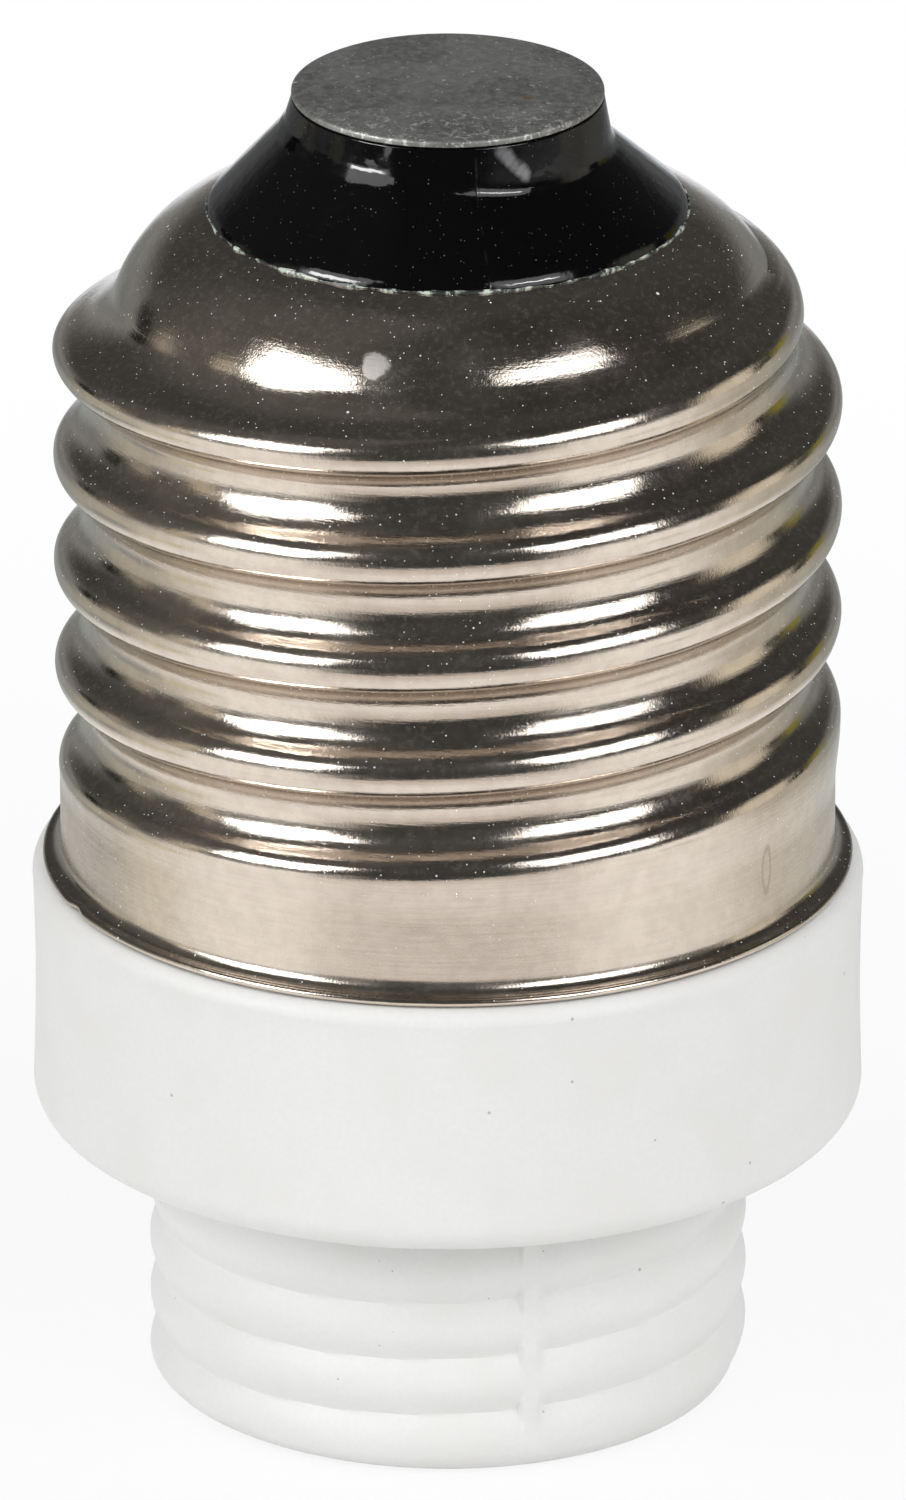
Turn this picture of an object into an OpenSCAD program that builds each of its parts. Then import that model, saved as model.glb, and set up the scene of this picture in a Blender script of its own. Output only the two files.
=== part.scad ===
// Lamp socket adapter: an Edison screw cap on top of a moulded body that holds a
// two-pin socket. It stands on the end face of its neck, at z = 0, cap upwards.

/* [Screw cap] */
// Diameter over the crests of the rolled thread
crest_d = 26.1; // [25.8:0.1:26.4]
// Pitch of the rolled thread, seven turns to the inch
cap_pitch = 3.629; // [3.4:0.01:3.8]
// Depth of the rolled groove below the crests
groove_depth = 1.1; // [0.8:0.05:1.1]
// Turns of full crest, counted from the lowest one
crest_turns = 4; // [3.5:0.5:4]
// Diameter of the plain skirt below the thread
skirt_d = 25.8; // [25.4:0.1:26]
// Height from the lip's edge to the lowest crest, at the seam
skirt_h = 5.1; // [4.6:0.1:5.8]
// Diameter of the out-turned lip
lip_d = 27; // [26.4:0.1:27.4]
// Thickness of the sheet that the shell is drawn from
sheet_t = 0.3; // [0.2:0.05:0.35]
// Diameter of the dome where it meets the thread
dome_d = 22.7; // [22:0.1:23.2]
// Radius of the dome's rounded shoulder
dome_r = 5; // [4.6:0.1:5.6]
// Diameter of the opening in the top of the dome
dome_hole_d = 13.8; // [12.6:0.1:14.4]

/* [Insulator and centre contact] */
// Diameter of the insulator's rim where it covers the dome
rim_d = 15.8; // [15.2:0.1:16.4]
// Diameter of the insulator's neck, where it carries the contact plate
insulator_top_d = 10.3; // [10:0.1:11.4]
// Height of the insulator above its rim
insulator_h = 3.9; // [3:0.1:4.6]
// Diameter of the contact plate
plate_d = 10.3; // [9.4:0.1:11]
// Thickness of the contact plate
plate_t = 0.25; // [0.2:0.05:0.6]
// Outer diameter of the hollow stem below the plate
stem_d = 3; // [2.6:0.1:3.6]

/* [Body] */
// Diameter of the wide collar
collar_d = 27.7; // [27.4:0.1:29]
// Height of the collar
collar_h = 8.75; // [7.8:0.05:10]
// Depth of the collar's waist at mid height, measured on the radius
waist = 0.08; // [0:0.01:0.2]
// Rounding of the collar's top edge
collar_top_r = 0.55; // [0.2:0.05:0.6]
// Rounding of the collar's bottom edge
collar_low_r = 1; // [0.5:0.1:1.5]
// Height of the spigot inside the cap
spigot_h = 15; // [12:0.5:17]
// Wall of the spigot
spigot_wall = 1.5; // [1.2:0.1:1.7]
// Gap between the spigot and the thread's inside
spigot_gap = 0.2; // [0.1:0.05:0.4]

/* [Neck] */
// Diameter over the crests of the neck's round thread
neck_d = 20; // [19.8:0.1:20.6]
// Height of the neck below the collar
neck_h = 9.7; // [8.6:0.1:11]
// Pitch of the neck's thread
neck_pitch = 2; // [1.8:0.05:2.2]
// Depth of the neck's thread
neck_groove = 0.34; // [0.15:0.01:0.4]
// Rounding of the neck's end
neck_end_r = 0.75; // [0.5:0.05:1]
// Bearing of the narrow land that breaks the thread, at the mould's parting line
land_angle = 285.8; // [270:0.1:300]
// Width of the land
land_w = 0.3; // [0.2:0.05:1]

/* [Socket] */
// Diameter of the ceramic insert
insert_d = 17; // [16.6:0.1:17.2]
// Width of the insert across its two flats
insert_flats = 12.8; // [12.4:0.1:13.2]
// Height of the insert
insert_h = 13.5; // [12.5:0.1:14]
// Thickness of the neck's end wall, which the insert rests on
end_wall = 1; // [0.8:0.1:1.4]
// Length of the recess for the lamp's base
recess_l = 15.2; // [14.4:0.1:15.4]
// Width of the recess for the lamp's base
recess_w = 7; // [6:0.1:7.6]
// Depth of the recess below the insert's face
recess_depth = 4.6; // [4:0.1:5.2]
// Distance between the two pin slots
pin_pitch = 9; // [8.8:0.1:9.2]
// Length of a pin slot
slot_l = 3.2; // [3:0.1:3.4]
// Width of a pin slot
slot_w = 1.3; // [1.1:0.1:1.6]
// Thickness of the cover behind the insert
cover_t = 1.5; // [1.2:0.1:2]
// Thickness of the contact springs' strip
strip_t = 0.35; // [0.25:0.05:0.45]
// Width of the contact springs' strip
strip_w = 2.8; // [2.4:0.1:3]
// Thread diameter of the cover's screws
screw_d = 2; // [1.6:0.1:2.2]
// Length of the cover's screws below the head
screw_l = 5.6; // [4.6:0.1:6]

/* [Leads] */
// Diameter over the leads' insulation
lead_d = 1.6; // [1.3:0.1:1.8]
// Diameter of the leads' conductor
wire_d = 0.8; // [0.6:0.1:0.9]

/* [Hidden] */
$fn = 96;

// Clearances: between pieces that sit face to face, between pieces that slide together
seat = 0.05;
slide = 0.1;

// Columns round the shell and rows to one pitch, outside and inside
shell_columns = 48;
rows_out = 10;
rows_in = 6;

// Heights of the body
collar_z = neck_h;
body_top = neck_h + collar_h;
spigot_top = body_top + spigot_h;

// Screw shell: its lip stands on the collar, and its lowest crest is at bearing 0
lip_z = body_top + seat;
first_crest = lip_z + skirt_h;
crest_r = crest_d / 2;
root_r = crest_r - groove_depth;
skirt_r = skirt_d / 2;
lip_r = lip_d / 2;
lip_h = 0.25;
lip_sweep = 0.7;
top_crest = crest_turns - 0.5;
top_climb = 0.22;
wall_r = dome_d / 2;
hole_r = dome_hole_d / 2;
rim_r = rim_d / 2;

// The dome's shoulder is an arc round (dome_c, dome_z), which starts where the last crest ends
dome_c = wall_r - dome_r;
dome_z = first_crest + (crest_turns - 0.4) * cap_pitch;

// Height of the dome's outside, or inside for a drop of sheet_t, at radius r
function dome_top(r, drop = 0) = dome_z + sqrt(pow(dome_r - drop, 2) - pow(r - dome_c, 2));

// Radius of the dome's outside at height z
function dome_side(z) =
    z <= dome_z ? wall_r : dome_c + sqrt(max(0, pow(dome_r, 2) - pow(z - dome_z, 2)));

// Rise from 0 to 1 with level ends
function ease(t) = let (c = max(0, min(1, t))) c * c * (3 - 2 * c);

// How far the thread has climbed above its even pitch, as it runs out towards the dome
function climb(z) = top_climb * ease(((z - first_crest) / cap_pitch - 0.8) / 2.4);

// Position along the thread at bearing a and height z: whole at each crest
function thread_u(a, z) = (z - climb(z) - first_crest) / cap_pitch - a / 360;

// Round thread: crests and grooves are arcs of one radius that run into each other
round_r = (pow(cap_pitch / 2, 2) + pow(groove_depth, 2)) / (4 * groove_depth);
flank_sin = cap_pitch / 4 / round_r;

// Share of the groove's depth at position u, from 1 on a crest to 0 in a groove. A drop t
// gives the inside of a sheet of that thickness.
function round_wave(u, t) =
    let (x = abs(u - round(u)) * cap_pitch,
         on_crest = x < (round_r - t) * flank_sin,
         rise = on_crest
             ? groove_depth - round_r + sqrt(pow(round_r - t, 2) - x * x)
             : round_r - sqrt(pow(round_r + t, 2) - pow(cap_pitch / 2 - x, 2)))
    (rise + t) / groove_depth;

// Share of the crest's height that is left: the last crest fades out over the front
function crest_left(a, z) =
    1 - ease((round(thread_u(a, z)) + a / 360 - top_crest) / 0.8);

// Share of the groove's depth that is reached: the lowest groove starts at the back
function groove_in(a, z) = ease((ceil(thread_u(a, z)) + a / 360) / 0.45);

// Radius of the crests, which run down into the skirt below the lowest one
function crest_line(z) =
    skirt_r + (crest_r - skirt_r) * ease((z - first_crest + 2.4) / 2.2);

// Radius of the groove bottoms, which run up into the dome
function root_line(z) =
    dome_side(z) + (root_r - wall_r) * (1 - ease((z - first_crest) / cap_pitch - 2.85));

// Radius of the shell at bearing a and height z: outside, or inside a sheet of thickness t
function shell_side(a, z, t = 0) =
    let (wave = crest_left(a, z) * round_wave(thread_u(a, z), t),
         height = 1 - groove_in(a, z) * (1 - wave))
    root_line(z) + (crest_line(z) - root_line(z)) * height - t;

// Heights of the thread's band, up to where the fading crest ends on the dome
band_low = first_crest - 2.4;
band_high = first_crest + (crest_turns + 0.35) * cap_pitch;
arc_start = asin((band_high - dome_z) / dome_r);
arc_end = acos((hole_r - dome_c) / dome_r);

// Points of the shell's section at bearing a: up the outside, then down the inside
function shell_section(a) = concat(
    [[lip_r, lip_z], [lip_r, lip_z + lip_h]],
    [for (t = [0.35, 0.7, 1])
        [lip_r - (lip_r - skirt_r) * ease(t), lip_z + lip_h + (lip_sweep - lip_h) * t]],
    [for (z = [band_low : cap_pitch / rows_out : band_high - 0.1]) [shell_side(a, z), z]],
    [for (k = [0 : 5])
        let (f = arc_start + (arc_end - arc_start) * k / 5)
        [dome_c + dome_r * cos(f), dome_z + dome_r * sin(f)]],
    [for (k = [5 : -1 : 0])
        let (f = arc_start + (arc_end - arc_start) * k / 5, r = dome_r - sheet_t)
        [dome_c + r * cos(f), dome_z + r * sin(f)]],
    [for (z = [band_high - 0.6 : -cap_pitch / rows_in : band_low])
        [shell_side(a, z, sheet_t), z]],
    [[skirt_r - sheet_t, lip_z + lip_sweep], [lip_r - sheet_t, lip_z]]);

// Closed skin over the sections that go round the axis at the given bearings
module ring_of_sections(bearings, sections) {
    n = len(bearings);
    m = len(sections[0]);
    points = [for (i = [0 : n - 1], p = sections[i])
        [p[0] * cos(bearings[i]), p[0] * sin(bearings[i]), p[1]]];
    faces = [for (i = [0 : n - 1], j = [0 : m - 1], half = [0, 1])
        let (a = i * m + j,
             b = i * m + (j + 1) % m,
             c = ((i + 1) % n) * m + (j + 1) % m,
             d = ((i + 1) % n) * m + j)
        half == 0 ? [a, b, c] : [a, c, d]];
    polyhedron(points, faces);
}

// Points of an arc in a section, from angle f0 to f1
function arc(centre, r, f0, f1, n = 6) =
    [for (k = [0 : n]) let (f = f0 + (f1 - f0) * k / n)
        [centre[0] + r * cos(f), centre[1] + r * sin(f)]];

// Neck: radius of its round thread at bearing a and height z
neck_r = neck_d / 2;
neck_phase = 3.75;
land_half = land_w / 2 / neck_r * 57.3;
land_ramp = 0.9;

// Depth share at bearing a and height z: none on the two lands, opposite each other, which
// fade out above the rounded end
function off_land(a, z) =
    let (s = (a - land_angle + 720 + 90) % 180 - 90)
    max(1 - ease((z - 0.4) / 1.2), min(1, (abs(s) - land_half) / land_ramp));

// Radius of the neck at bearing a and height z. The thread's lowest crest grows out of the
// rounded end as it rises above it, and below that crest the neck stays at the groove's depth.
function neck_side(a, z) =
    let (u = (z - neck_phase) / neck_pitch - a / 360,
         crest_z = neck_phase + neck_pitch * (round(u) + a / 360),
         crest = ease((crest_z + 0.1) / 0.6) * abs(cos(180 * u)),
         edge = neck_end_r - sqrt(pow(neck_end_r, 2) - pow(max(0, neck_end_r - z), 2)))
    neck_r - edge - neck_groove * off_land(a, z) * (1 - crest);

// Heights of the neck's rows: close together on the rounded end, then eight to a pitch
neck_rows = concat(
    [for (f = [0 : 22.5 : 67.5]) neck_end_r * (1 - cos(f))],
    [for (z = [neck_end_r : neck_pitch / 8 : collar_z + 0.3]) z]);

// Bearings of the neck's columns: one on each side of a land's edges, the rest even
neck_bearings = [for (side = [0, 180],
                      a = concat([-land_half, land_half],
                                 [for (k = [0 : 22])
                                     let (edge = land_half + land_ramp)
                                     edge + (180 - 2 * edge) * k / 22]))
    land_angle + side + a];

// Socket
insert_r = insert_d / 2;
insert_z = end_wall + seat;
insert_top = insert_z + insert_h;
shoulder_z = insert_top;
recess_floor = insert_z + recess_depth;
pocket_floor = recess_floor + 1;
pocket_w = strip_w + 2 * slide + 0.4;
pocket_l = 4.8;
cavity_r = insert_r + slide;
spigot_r = root_r - sheet_t - spigot_gap;
bore_r = spigot_r - spigot_wall;
cover_r = bore_r - 2 * slide;
cover_z = insert_top + seat;
cover_top = cover_z + cover_t;
head_d = 1.7 * screw_d;
head_h = 0.6 * screw_d;
screw_y = bore_r - head_d / 2 - slide;
tail_y = 1.4;
tail_top = cover_top + 2.6;
crimp_r = wire_d / 2 + slide + 0.3;
crimp_y = tail_y + crimp_r;

// Insulator and contact plate
rim_z = dome_top(rim_r) + seat;
insulator_top = rim_z + insulator_h;
plate_z = insulator_top + seat;
plate_top = plate_z + plate_t;
stem_r = stem_d / 2;
stem_bore = wire_d / 2 + 0.4;
insulator_low = dome_z + 2.6;
stem_end = insulator_low - 0.5;
flange_r = dome_c + 2.4;

// A strip of metal bent along the given points, t thick
function turn_normal(p, i) =
    let (n = len(p),
         a = p[max(i - 1, 0)],
         b = p[i],
         c = p[min(i + 1, n - 1)],
         u = i == 0 ? (c - b) / norm(c - b) : (b - a) / norm(b - a),
         v = i == n - 1 ? u : (c - b) / norm(c - b),
         s = (u + v) / norm(u + v))
    [-s[1], s[0]] / max(0.5, s * u);

module bent_strip(p, t, w) {
    left = [for (i = [0 : len(p) - 1]) p[i] + turn_normal(p, i) * t / 2];
    right = [for (i = [len(p) - 1 : -1 : 0]) p[i] - turn_normal(p, i) * t / 2];
    rotate([90, 0, 90])
        linear_extrude(w, center = true)
            polygon(concat(left, right));
}

// A round wire swept through points, with a radius given at each point
function way(p, i) =
    let (n = len(p), d = p[min(i + 1, n - 1)] - p[max(i - 1, 0)]) d / norm(d);

module swept_wire(p, r, sides = 8) {
    n = len(p);
    side = [1, 0.3, 0];
    points = [for (i = [0 : n - 1])
        let (d = way(p, i),
             u = cross(d, side) / norm(cross(d, side)),
             v = cross(d, u))
        for (k = [0 : sides - 1])
            p[i] + r[i] * (u * cos(360 * k / sides) + v * sin(360 * k / sides))];
    skin = [for (i = [0 : n - 2], k = [0 : sides - 1], half = [0, 1])
        let (a = i * sides + k,
             b = i * sides + (k + 1) % sides,
             c = a + sides,
             d = b + sides)
        half == 0 ? [a, d, b] : [a, c, d]];
    polyhedron(points, concat(
        [[for (k = [0 : sides - 1]) k]],
        skin,
        [[for (k = [sides - 1 : -1 : 0]) (n - 1) * sides + k]]));
}

// Smooth curve through a few points, with the given steps between each two
function curve_point(a, b, c, d, t) =
    0.5 * (2 * b + (c - a) * t + (2 * a - 5 * b + 4 * c - d) * t * t
        + (3 * b - a - 3 * c + d) * t * t * t);

function smooth_route(p, steps) =
    let (n = len(p))
    concat([for (i = [0 : n - 2], k = [0 : steps - 1])
        curve_point(p[max(i - 1, 0)], p[i], p[i + 1], p[min(i + 2, n - 1)], k / steps)],
        [p[n - 1]]);

// Routes of the leads, from the crimps on the spring contacts to the cap
live_route = smooth_route([
    [pin_pitch / 2, crimp_y, tail_top - 1.8],
    [pin_pitch / 2, crimp_y, tail_top + 0.15],
    [pin_pitch / 2, crimp_y, tail_top + 1.2],
    [0.48 * bore_r, 0.3 * bore_r, spigot_top - 0.63 * spigot_h],
    [0.24 * bore_r, 0.22 * bore_r, spigot_top - 0.23 * spigot_h],
    [0.3, 0.5, stem_end - 3.2],
    [0, 0, stem_end - 1.6],
    [0, 0, stem_end - 0.6],
    [0, 0, stem_end + 2.4]], 3);

// The shell's joint lies in the hollow behind the first crest above the spigot, a little
// below its middle, since the climbing thread leaves less room above it
solder_turn = ceil((spigot_top + 1 - first_crest) / cap_pitch - 0.25);
solder_even_z = first_crest + (solder_turn + 0.25) * cap_pitch;
solder_z = solder_even_z + climb(solder_even_z + top_climb / 2) - slide;
solder_reach = shell_side(90, solder_z, sheet_t) - slide - seat / 2;

neutral_route = smooth_route([
    [-pin_pitch / 2, -crimp_y, tail_top - 1.8],
    [-pin_pitch / 2, -crimp_y, tail_top + 0.15],
    [-pin_pitch / 2, -crimp_y, tail_top + 1.2],
    [-0.54 * bore_r, -0.1 * bore_r, spigot_top - 0.63 * spigot_h],
    [-0.36 * bore_r, 0.5 * bore_r, spigot_top - 0.3 * spigot_h],
    [0, bore_r - 1.6, spigot_top - 1.8],
    [0, bore_r - 0.9, solder_z - 0.4],
    [0, solder_reach - 1.4, solder_z],
    [0, solder_reach - 0.4, solder_z]], 3);

// Rings of bare wire in a crimp, in the stem and at the shell's joint
crimped_rings = 4;
stem_rings = 5;
joint_rings = 7;

// Radius along a lead: insulation, with a bare end of the given number of rings
function lead_radii(n, bare_start, bare_end) =
    [for (i = [0 : n - 1]) i < bare_start || i >= n - bare_end ? wire_d / 2 : lead_d / 2];

// Flat disc with a rolled edge, on a hollow stem that is spread under the insulator
module contact_plate() {
    color([0.62, 0.63, 0.63])
        rotate_extrude()
            polygon(concat(
                [[0, plate_top + 0.08], [plate_d / 2 - 0.9, plate_top + 0.02]],
                arc([plate_d / 2 - 0.18, plate_top - 0.18], 0.18, 90, 0, 4),
                [[plate_d / 2, plate_z], [stem_r, plate_z],
                 [stem_r, insulator_low - seat],
                 [stem_r + 0.6, insulator_low - seat],
                 [stem_r + 0.6, insulator_low - seat - 0.25],
                 [stem_r, stem_end], [stem_bore, stem_end],
                 [stem_bore, plate_z - 0.3], [0, plate_z - 0.3]]));
}

// Black moulding: a cone over the dome, and a foot that spreads inside the shell
module cap_insulator() {
    neck_out = insulator_top_d / 2;
    color([0.03, 0.03, 0.035])
        rotate_extrude()
            polygon(concat(
                [[stem_r + slide, insulator_top], [neck_out, insulator_top],
                 [neck_out + 0.22, insulator_top - 0.95]],
                arc([neck_out + 0.58, insulator_top - 0.97], 0.36, 180, 230, 4),
                [[rim_r - 0.24, rim_z + 0.24], [rim_r, rim_z + 0.06], [rim_r, rim_z]],
                [for (k = [0 : 3]) let (r = rim_r - (rim_r - hole_r + 2 * seat) * k / 3)
                    [r, dome_top(r) + seat]],
                [for (k = [0 : 4])
                    let (r = hole_r - 2 * seat + (flange_r - hole_r + 2 * seat) * k / 4)
                    [r, dome_top(r, sheet_t) - 3 * seat]],
                [[flange_r, insulator_low], [stem_r + slide, insulator_low]]));
}

// Drawn and rolled sheet: dome, round thread, plain skirt and out-turned lip
module screw_shell() {
    bearings = [for (i = [0 : shell_columns - 1]) 360 * i / shell_columns];
    color([0.74, 0.7, 0.66])
        ring_of_sections(bearings, [for (a = bearings) shell_section(a)]);
}

// Threaded outside of the neck as one solid, which the body's bore is cut from
module threaded_neck() {
    sections = [for (a = neck_bearings)
        concat([[0.5, collar_z + 0.3], [0.5, 0]],
               [for (z = neck_rows) [neck_side(a, z), z]])];
    ring_of_sections(neck_bearings, sections);
    cylinder(h = collar_z + 0.3, r = 1);
}

// Collar and spigot, outside only
module collar_and_spigot() {
    collar_r = collar_d / 2;
    mid_z = (collar_z + body_top) / 2;
    rotate_extrude()
        polygon(concat(
            [[0, collar_z]],
            arc([collar_r - collar_low_r, collar_z + collar_low_r], collar_low_r, -90, 0, 8),
            [[collar_r - 0.75 * waist, mid_z - 2], [collar_r - waist, mid_z],
             [collar_r - 0.75 * waist, mid_z + 2]],
            arc([collar_r - collar_top_r, body_top - collar_top_r], collar_top_r, 0, 90, 6),
            [[spigot_r, body_top], [spigot_r, spigot_top - 0.4],
             [spigot_r - 0.4, spigot_top], [0, spigot_top]]));
}

// White moulding in one piece: threaded neck, collar and the spigot in the cap
module adapter_body() {
    color([0.93, 0.93, 0.91])
        difference() {
            union() {
                threaded_neck();
                collar_and_spigot();
            }
            // Window in the neck's end, which leaves a lip for the insert to rest on
            intersection() {
                translate([0, 0, -1]) cylinder(h = end_wall + 2, r = cavity_r - 0.65);
                cube([2 * neck_d, insert_flats - 1.4, 4 * end_wall], center = true);
            }
            // Cavity for the insert, with two flats that keep it from turning
            intersection() {
                translate([0, 0, end_wall]) cylinder(h = spigot_top, r = cavity_r);
                translate([-neck_d, -insert_flats / 2 - slide, end_wall])
                    cube([2 * neck_d, insert_flats + 2 * slide, shoulder_z]);
            }
            // Room for the cover and the leads
            translate([0, 0, shoulder_z]) cylinder(h = spigot_top, r = bore_r);
            // Pilot holes of the cover's screws
            for (side = [-1, 1])
                translate([0, side * screw_y, cover_top - screw_l - 0.4])
                    cylinder(h = screw_l, d = screw_d + 2 * seat);
        }
}

// Oblong recess with round ends, from the given height
module lamp_recess(z, h) {
    end_x = (recess_l - recess_w) / 2;
    for (side = [-1, 1])
        translate([side * end_x, 0, z]) cylinder(h = h, d = recess_w);
    translate([-end_x, -recess_w / 2, z]) cube([2 * end_x, recess_w, h]);
}

// Ceramic block: recess for the lamp's base, two pin slots and a pocket behind each
module socket_insert() {
    color([0.9, 0.89, 0.85])
        difference() {
            intersection() {
                translate([0, 0, insert_z]) cylinder(h = insert_h, r = insert_r);
                translate([-insert_d, -insert_flats / 2, 0])
                    cube([2 * insert_d, insert_flats, insert_top]);
            }
            lamp_recess(0, recess_floor);
            for (side = [-1, 1])
                translate([side * pin_pitch / 2, 0, 0]) {
                    translate([-slot_l / 2, -slot_w / 2, recess_floor - 1])
                        cube([slot_l, slot_w, insert_h]);
                    translate([-pocket_w / 2, -pocket_l / 2, pocket_floor])
                        cube([pocket_w, pocket_l, insert_h]);
                }
        }
}

// Disc that closes the pockets, with a slot for each contact's tail and two screw holes
module contact_cover() {
    color([0.88, 0.87, 0.83])
        difference() {
            translate([0, 0, cover_z]) cylinder(h = cover_t, r = cover_r);
            for (side = [-1, 1]) {
                translate([side * pin_pitch / 2, side * tail_y, cover_z + cover_t / 2])
                    cube([strip_w + 4 * slide, strip_t + 2 * slide, 2 * cover_t], center = true);
                translate([0, side * screw_y, 0])
                    cylinder(h = spigot_top, d = screw_d + 2 * slide);
            }
        }
}

// Spring clip: two leaves that grip the lamp's pin, a tail and a crimp for the lead
module spring_contact() {
    low = pocket_floor + 0.3;
    high = insert_top - strip_t / 2 - slide;
    color([0.8, 0.76, 0.66]) {
        bent_strip([[-1, low], [-0.3, low + 1.6], [-0.45, low + 3.4], [-1.1, high - 0.5],
                    [-0.7, high], [tail_y - 0.3, high], [tail_y, high + 0.25],
                    [tail_y, tail_top]], strip_t, strip_w);
        bent_strip([[1, low], [0.3, low + 1.6], [0.45, low + 3.4], [0.85, high - 0.8],
                    [0.85, high]], strip_t, strip_w);
        translate([0, crimp_y, tail_top - 2.2])
            difference() {
                cylinder(h = 2.2, r = crimp_r);
                translate([0, 0, -1]) cylinder(h = 5, r = wire_d / 2 + slide);
            }
    }
}

module live_contact() {
    translate([pin_pitch / 2, 0, 0]) spring_contact();
}

module neutral_contact() {
    rotate([0, 0, 180]) live_contact();
}

// Pan-head screw with a cross recess, head on the cover
module cover_screw(side) {
    color([0.7, 0.71, 0.72])
        translate([0, side * screw_y, cover_top + seat])
            difference() {
                union() {
                    rotate_extrude()
                        polygon(concat([[0, 0], [head_d / 2, 0]],
                            arc([head_d / 2 - 0.5 * head_h, 0.5 * head_h], 0.5 * head_h, 0, 90, 4),
                            [[0, head_h]]));
                    translate([0, 0, -screw_l + 0.8]) cylinder(h = screw_l, d = screw_d);
                    translate([0, 0, -screw_l]) cylinder(h = 0.8, d1 = 0.4 * screw_d, d2 = screw_d);
                }
                for (a = [0, 90])
                    rotate([0, 0, a])
                        translate([0, 0, head_h])
                            cube([0.6 * head_d, 0.22 * screw_d, head_h], center = true);
            }
}

module cover_screw_front() {
    cover_screw(-1);
}

module cover_screw_back() {
    cover_screw(1);
}

module live_lead() {
    color([0.55, 0.28, 0.16])
        swept_wire(live_route, lead_radii(len(live_route), crimped_rings, stem_rings));
}

module neutral_lead() {
    color([0.2, 0.35, 0.6])
        swept_wire(neutral_route, lead_radii(len(neutral_route), crimped_rings, joint_rings));
}

// Solder in the mouth of the centre contact's stem, round the live wire
module tip_solder() {
    tip_depth = 2;
    color([0.78, 0.79, 0.8])
        rotate_extrude()
            polygon([[wire_d / 2 + 0.02, stem_end - 0.5], [wire_d / 2 + 0.2, stem_end - 0.45],
                     [stem_bore + 0.1, stem_end - 0.05], [stem_bore - 0.02, stem_end - 0.02],
                     [stem_bore - 0.02, stem_end + tip_depth],
                     [wire_d / 2 + 0.02, stem_end + tip_depth]]);
}

// Solder that joins the neutral wire's end to the shell: a drop that fits the hollow crest
module shell_solder() {
    length = 1.5;
    color([0.78, 0.79, 0.8])
        translate([0, solder_reach, solder_z])
            rotate([90, 0, 0])
                difference() {
                    rotate_extrude()
                        polygon([[0, 0], [0.3, 0.1], [0.45, 0.22], [0.6, 0.42], [0.75, 0.8],
                                 [0.8, 1.1], [0.55, length], [0, length]]);
                    translate([0, 0, 0.3]) cylinder(h = 2 * length, d = wire_d + 2 * seat);
                }
}

contact_plate();
cap_insulator();
screw_shell();
adapter_body();
socket_insert();
contact_cover();
live_contact();
neutral_contact();
cover_screw_front();
cover_screw_back();
live_lead();
neutral_lead();
tip_solder();
shell_solder();
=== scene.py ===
import math

import bmesh
import bpy
import numpy as np
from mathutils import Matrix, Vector


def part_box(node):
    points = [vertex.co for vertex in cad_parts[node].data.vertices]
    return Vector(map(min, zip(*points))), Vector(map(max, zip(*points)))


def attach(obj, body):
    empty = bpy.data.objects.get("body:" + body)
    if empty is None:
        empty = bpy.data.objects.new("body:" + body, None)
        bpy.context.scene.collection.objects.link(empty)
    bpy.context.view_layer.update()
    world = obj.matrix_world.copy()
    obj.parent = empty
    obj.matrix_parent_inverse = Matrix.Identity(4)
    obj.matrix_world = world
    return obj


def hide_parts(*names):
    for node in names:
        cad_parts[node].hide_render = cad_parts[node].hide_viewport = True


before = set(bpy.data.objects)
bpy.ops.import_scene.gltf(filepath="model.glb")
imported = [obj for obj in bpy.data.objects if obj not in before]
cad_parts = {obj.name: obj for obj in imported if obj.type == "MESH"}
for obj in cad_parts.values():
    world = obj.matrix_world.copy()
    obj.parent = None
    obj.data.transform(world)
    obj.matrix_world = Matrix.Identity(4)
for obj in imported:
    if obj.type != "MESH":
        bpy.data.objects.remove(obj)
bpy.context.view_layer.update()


# The view
# The photograph looks down about 22 degrees at the adapter, from 0.7 m, with its screw
# cap upwards. The camera looks at a point on the axis, halfway up.
MM = 0.001
photo_height = 1500
pixels_per_mm = 30.06
view_distance = 700 * MM
view_down = math.radians(22.2)
view_target = Vector((0.17, 0, 22.12)) * MM
towards_camera = Vector((0, -math.cos(view_down), math.sin(view_down)))

camera_data = bpy.data.cameras.new("photo_view")
camera_data.sensor_width = 36
camera_data.lens = (
    pixels_per_mm * view_distance / MM / photo_height * camera_data.sensor_width
)
camera_data.clip_start = 10 * MM
camera = bpy.data.objects.new("photo_view", camera_data)
camera.location = view_target + towards_camera * view_distance
camera.rotation_mode = "QUATERNION"
camera.rotation_quaternion = (-towards_camera).to_track_quat("-Z", "Y")
bpy.context.scene.collection.objects.link(camera)
bpy.context.scene.camera = camera


# The light
# A white table under the adapter and two soft boxes, left and right of the camera. The
# room is dim, and so is the table behind the adapter, which gives the metal dark edges.
bpy.context.scene.view_settings.view_transform = "Standard"
white = (1, 1, 1, 1)
room_front = (0.06, 0.061, 0.058, 1)
room_left = (0.11, 0.108, 0.1, 1)
room_right = (0.045, 0.043, 0.04, 1)
room_back = (0.16, 0.165, 0.165, 1)
room_high_back = (0.06, 0.06, 0.058, 1)
horizon_colour = (0.56, 0.56, 0.55, 1)
ambient_colour = (1.0, 0.99, 0.975, 1)
ambient_level = 0.55
table_front = (0.87, 0.82, 0.77, 1)
table_side = (1.22, 1.2, 1.16, 1)
table_left_right = (0.58, 0.56, 0.48, 1)
table_back = (0.36, 0.38, 0.37, 1)
table_far_back = (0.23, 0.24, 0.235, 1)
table_close = (1.14, 1.12, 1.1, 1)
table_beyond = (1.0, 1.04, 1.1, 1)


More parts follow.
